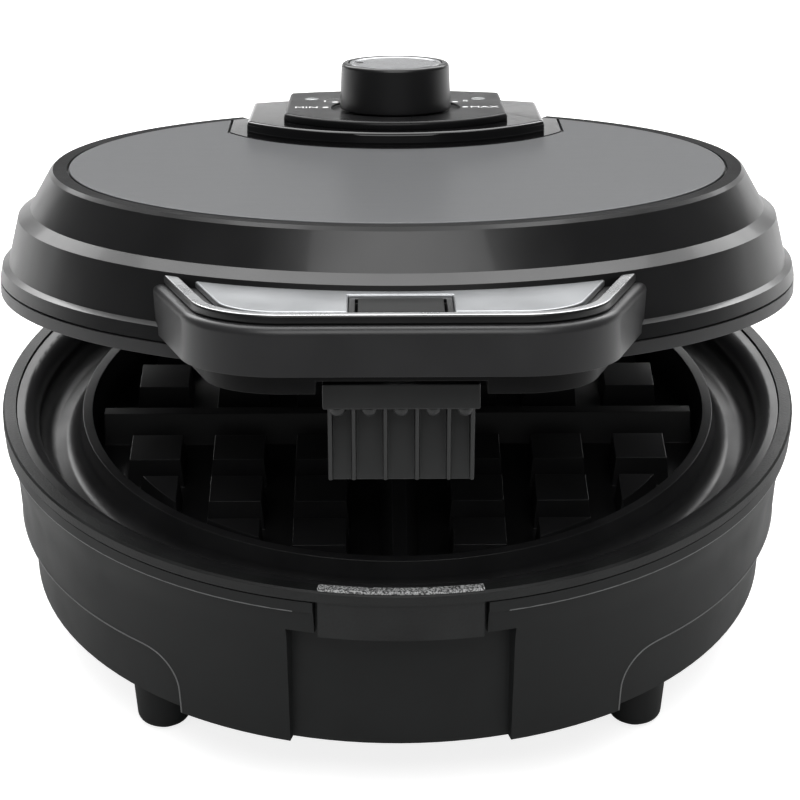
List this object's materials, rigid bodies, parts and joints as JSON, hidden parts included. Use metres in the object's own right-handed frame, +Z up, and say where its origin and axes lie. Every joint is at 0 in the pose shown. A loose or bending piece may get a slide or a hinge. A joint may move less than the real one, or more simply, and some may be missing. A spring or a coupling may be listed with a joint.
{
  "type": "round waffle maker",
  "caption": "Round hinged waffle maker with patterned non-stick plates, an overflow moat, a latched front handle and a temperature knob on the lid.",
  "frame": {"origin": "on the floor under the axis of the round base, which is also the middle of the object's box seen from above", "axes": "+Z up, +Y from the handle at the front to the hinge at the rear, +X to the right seen from the front; stored with the lid 14.24 degrees ajar as pictured"},
  "size_m": [0.24, 0.276, 0.1685],
  "materials": {
    "base_plastic": "fine-grained charcoal moulding",
    "rim_plastic": "sand-textured dark grey",
    "catch_grey": "granular mid grey",
    "nonstick": "cast, glossy black non-stick coating",
    "element_steel": "dull grey sheath",
    "tray_metal": "bright rolled sheet",
    "screw_steel": "plain",
    "black_plastic": "satin black moulding",
    "gloss_black": "polished black",
    "lid_plate_metal": "satin graphite",
    "satin_silver": "satin silver grey",
    "cap_metal": "spun, radial brushing",
    "latch_grey": "dark grey moulding",
    "foot_rubber": "black",
    "lens_clear": "frosted clear",
    "board_green": "printed circuit board",
    "ceramic_white": "heat-proof moulding"
  },
  "bodies": {
    "base": {"base_housing": "base_plastic", "base_rim": "rim_plastic", "catch_strip": "catch_grey", "bottom_cover": "base_plastic", "bottom_cover_screws": "screw_steel", "feet": "black_plastic", "foot_pads": "foot_rubber", "lower_plate": "nonstick", "lower_heating_element": "element_steel", "lower_reflector": "tray_metal", "lower_plate_screws": "screw_steel", "thermal_cutout": "ceramic_white", "terminal_block": "ceramic_white", "cord_gland": "black_plastic", "cord_gland_nut": "black_plastic", "hinge_bracket": "base_plastic", "hinge_bracket_screws": "screw_steel", "hinge_pin": "screw_steel", "hinge_pin_clips": "screw_steel"},
    "lid": {"lid_housing": "gloss_black", "lid_top_plate": "lid_plate_metal", "control_pod": "gloss_black", "control_fascia": "gloss_black", "indicator_lenses": "lens_clear", "indicator_board": "board_green", "thermostat": "ceramic_white", "upper_plate": "nonstick", "upper_heating_element": "element_steel", "upper_reflector": "tray_metal", "upper_plate_screws": "screw_steel", "handle_body": "base_plastic", "handle_anchor_screws": "screw_steel", "handle_frame": "satin_silver", "handle_top_cover": "satin_silver", "release_bezel": "satin_silver", "handle_belly": "black_plastic", "handle_screws": "screw_steel", "hinge_yoke": "black_plastic", "hinge_yoke_screws": "screw_steel", "latch_pin": "screw_steel", "latch_spring": "screw_steel"},
    "knob": {"knob_body": "black_plastic", "knob_cap": "cap_metal", "thermostat_shaft": "screw_steel"},
    "latch": {"latch": "latch_grey", "release_tab": "black_plastic"}
  },
  "joints": [
    {"name": "lid_hinge", "type": "hinge", "parent": "base", "child": "lid", "pos_m": [0, 0.13, 0.078], "axis": [-1, 0, 0], "range_deg": [-14.24, 80.76]},
    {"name": "knob_turn", "type": "hinge", "parent": "lid", "child": "knob", "pos_m": [0, 0.07608, 0.12573], "axis": [0, 0.246, 0.9693], "range_deg": [-172, 8]},
    {"name": "latch_pivot", "type": "hinge", "parent": "lid", "child": "latch", "pos_m": [0, -0.12832, 0.15367], "axis": [-1, 0, 0], "range_deg": [0, 8], "stiffness_Nm_per_rad": 0.22, "springref_deg": -11.46}
  ]
}
